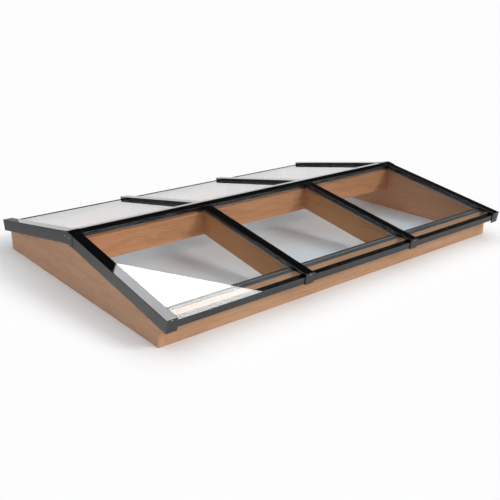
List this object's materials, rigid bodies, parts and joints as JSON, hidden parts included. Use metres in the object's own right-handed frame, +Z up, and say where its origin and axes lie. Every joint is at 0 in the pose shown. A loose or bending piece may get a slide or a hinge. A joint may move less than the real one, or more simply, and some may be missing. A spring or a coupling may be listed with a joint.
{
  "type": "roof skylight",
  "caption": "Fixed dual-pitch rooflight with three glazed bays a side on a timber kerb, capped in dark aluminium.",
  "frame": {"origin": "middle of the kerb's underside, where it rests on the roof upstand", "axes": "+X along the ridge, +Y across the ridge from the front eaves to the rear eaves, +Z up"},
  "size_m": [3.0286, 2.2202, 0.4],
  "materials": {
    "timber": "planed red pine, oiled, with fine straight grain",
    "mill_aluminium": "plain extruded aluminium",
    "coated_aluminium": "anthracite powder coat, semi-gloss",
    "outer_glass": "clear toughened glass",
    "inner_glass": "clear laminated glass",
    "spacer_bar": "matt light grey",
    "sealant": "matt black",
    "gasket_rubber": "matt black",
    "packer_plastic": "matt dark grey",
    "screw_steel": "stainless steel"
  },
  "bodies": {
    "root": {"gable_board_left": "timber", "gable_board_right": "timber", "eaves_board_front": "timber", "eaves_board_rear": "timber", "ridge_beam": "timber", "rafter_front_left": "timber", "rafter_front_right": "timber", "rafter_rear_left": "timber", "rafter_rear_right": "timber", "ridge_base": "mill_aluminium", "bar_bases": "mill_aluminium", "ridge_pressure_plate": "mill_aluminium", "bar_pressure_plates": "mill_aluminium", "ridge_cap": "coated_aluminium", "bar_cap_front_left": "coated_aluminium", "bar_cap_front_right": "coated_aluminium", "bar_cap_rear_left": "coated_aluminium", "bar_cap_rear_right": "coated_aluminium", "verge_cap_front_left": "coated_aluminium", "verge_cap_front_right": "coated_aluminium", "verge_cap_rear_left": "coated_aluminium", "verge_cap_rear_right": "coated_aluminium", "end_block_front_1": "coated_aluminium", "end_block_front_2": "coated_aluminium", "end_block_front_3": "coated_aluminium", "end_block_front_4": "coated_aluminium", "end_block_rear_1": "coated_aluminium", "end_block_rear_2": "coated_aluminium", "end_block_rear_3": "coated_aluminium", "end_block_rear_4": "coated_aluminium", "ridge_end_plate_left": "coated_aluminium", "ridge_end_plate_right": "coated_aluminium", "eaves_profile_front": "coated_aluminium", "eaves_profile_rear": "coated_aluminium", "condensation_channels": "coated_aluminium", "outer_pane_front_1": "outer_glass", "outer_pane_front_2": "outer_glass", "outer_pane_front_3": "outer_glass", "outer_pane_rear_1": "outer_glass", "outer_pane_rear_2": "outer_glass", "outer_pane_rear_3": "outer_glass", "inner_pane_front_1": "inner_glass", "inner_pane_front_2": "inner_glass", "inner_pane_front_3": "inner_glass", "inner_pane_rear_1": "inner_glass", "inner_pane_rear_2": "inner_glass", "inner_pane_rear_3": "inner_glass", "spacer_frames": "spacer_bar", "unit_edge_seals": "sealant", "bonding_tapes": "sealant", "inner_gaskets": "gasket_rubber", "outer_gaskets": "gasket_rubber", "weather_seals": "gasket_rubber", "verge_packers": "packer_plastic", "setting_blocks": "packer_plastic", "pressure_plate_screws": "screw_steel", "end_block_screws": "screw_steel", "eaves_profile_screws": "screw_steel", "ridge_end_screws": "screw_steel"}
  },
  "joints": []
}
